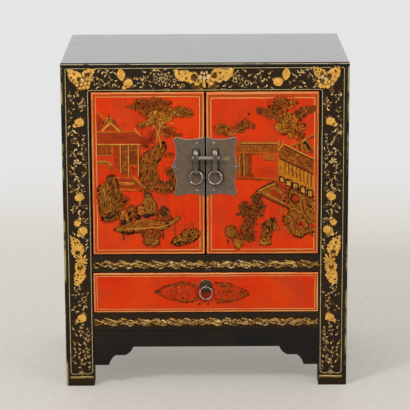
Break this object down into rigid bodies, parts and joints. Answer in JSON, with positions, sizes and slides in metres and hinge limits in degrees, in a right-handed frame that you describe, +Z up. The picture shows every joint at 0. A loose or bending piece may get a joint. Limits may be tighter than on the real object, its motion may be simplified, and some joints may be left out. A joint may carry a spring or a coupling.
{
  "type": "two-door side cabinet with drawer",
  "caption": "Low lacquered cabinet on post legs, with pivot-hung doors closed by a sliding lock pin, a drawer below and a shaped apron.",
  "frame": {"origin": "on the floor, under the middle of the bounding box", "axes": "+Z up, the front faces -Y, +X to the right of someone who looks at the front"},
  "size_m": [0.54, 0.3802, 0.63],
  "materials": {
    "black_lacquer": "black lacquer, satin to gloss, worn at the edges",
    "red_lacquer": "red lacquer over wood, satin, streaked",
    "bare_wood": "plain unpainted wood",
    "dark_steel": "dull dark steel",
    "bright_steel": "rubbed steel",
    "gilt_paint": "hand-painted gold on lacquer"
  },
  "bodies": {
    "root": {"front_left_post": "black_lacquer", "front_right_post": "black_lacquer", "rear_left_post": "black_lacquer", "rear_right_post": "black_lacquer", "top_board": "black_lacquer", "front_top_rail": "black_lacquer", "front_middle_rail": "black_lacquer", "front_bottom_rail": "black_lacquer", "rear_top_rail": "black_lacquer", "rear_bottom_rail": "black_lacquer", "left_top_rail": "black_lacquer", "right_top_rail": "black_lacquer", "left_bottom_rail": "black_lacquer", "right_bottom_rail": "black_lacquer", "left_side_panel": "black_lacquer", "right_side_panel": "black_lacquer", "back_panel": "black_lacquer", "front_apron": "black_lacquer", "left_apron": "black_lacquer", "right_apron": "black_lacquer", "cupboard_floor": "bare_wood", "left_floor_bearer": "bare_wood", "right_floor_bearer": "bare_wood", "shelf": "bare_wood", "left_shelf_cleat": "bare_wood", "right_shelf_cleat": "bare_wood", "door_stop": "bare_wood", "left_drawer_runner": "bare_wood", "right_drawer_runner": "bare_wood", "left_drawer_guide": "bare_wood", "right_drawer_guide": "bare_wood"},
    "left_door": {"left_door_panel": "red_lacquer", "left_door_lower_pivot": "dark_steel", "left_door_upper_pivot": "dark_steel", "left_lock_plate": "dark_steel", "left_upper_nail": "bright_steel", "left_outer_nail": "bright_steel", "left_lower_nail": "bright_steel", "left_lock_post": "dark_steel"},
    "right_door": {"right_door_panel": "red_lacquer", "right_door_lower_pivot": "dark_steel", "right_door_upper_pivot": "dark_steel", "right_lock_plate": "dark_steel", "right_upper_nail": "bright_steel", "right_outer_nail": "bright_steel", "right_lower_nail": "bright_steel", "right_lock_post": "dark_steel"},
    "lock_pin": {"lock_pin": "dark_steel"},
    "left_ring": {"left_pull_ring": "bright_steel"},
    "right_ring": {"right_pull_ring": "bright_steel"},
    "drawer": {"drawer_front": "red_lacquer", "drawer_left_side": "bare_wood", "drawer_right_side": "bare_wood", "drawer_back": "bare_wood", "drawer_bottom": "bare_wood", "drawer_pull_plate": "dark_steel", "drawer_pull_eye": "dark_steel"},
    "drawer_ring": {"drawer_pull_ring": "bright_steel"}
  },
  "joints": [
    {"name": "left_door_hinge", "type": "hinge", "parent": "root", "child": "left_door", "pos_m": [-0.205, -0.1659, 0.4185], "axis": [0, 0, -1], "range_deg": [0, 95]},
    {"name": "right_door_hinge", "type": "hinge", "parent": "root", "child": "right_door", "pos_m": [0.205, -0.1659, 0.4185], "axis": [0, 0, 1], "range_deg": [0, 95]},
    {"name": "drawer_slide", "type": "slide", "parent": "root", "child": "drawer", "axis": [0, -1, 0], "range_m": [0, 0.22]},
    {"name": "lock_pin_slide", "type": "slide", "parent": "right_door", "child": "lock_pin", "axis": [1, 0, 0], "range_m": [0, 0.034]},
    {"name": "left_ring_swing", "type": "hinge", "parent": "left_door", "child": "left_ring", "pos_m": [-0.018, -0.1836, 0.4251], "axis": [-1, 0, 0], "range_deg": [-12, 150]},
    {"name": "right_ring_swing", "type": "hinge", "parent": "right_door", "child": "right_ring", "pos_m": [0.018, -0.1836, 0.4251], "axis": [-1, 0, 0], "range_deg": [-12, 150]},
    {"name": "drawer_ring_swing", "type": "hinge", "parent": "drawer", "child": "drawer_ring", "pos_m": [0, -0.1814, 0.1985], "axis": [-1, 0, 0], "range_deg": [-10, 150]}
  ]
}
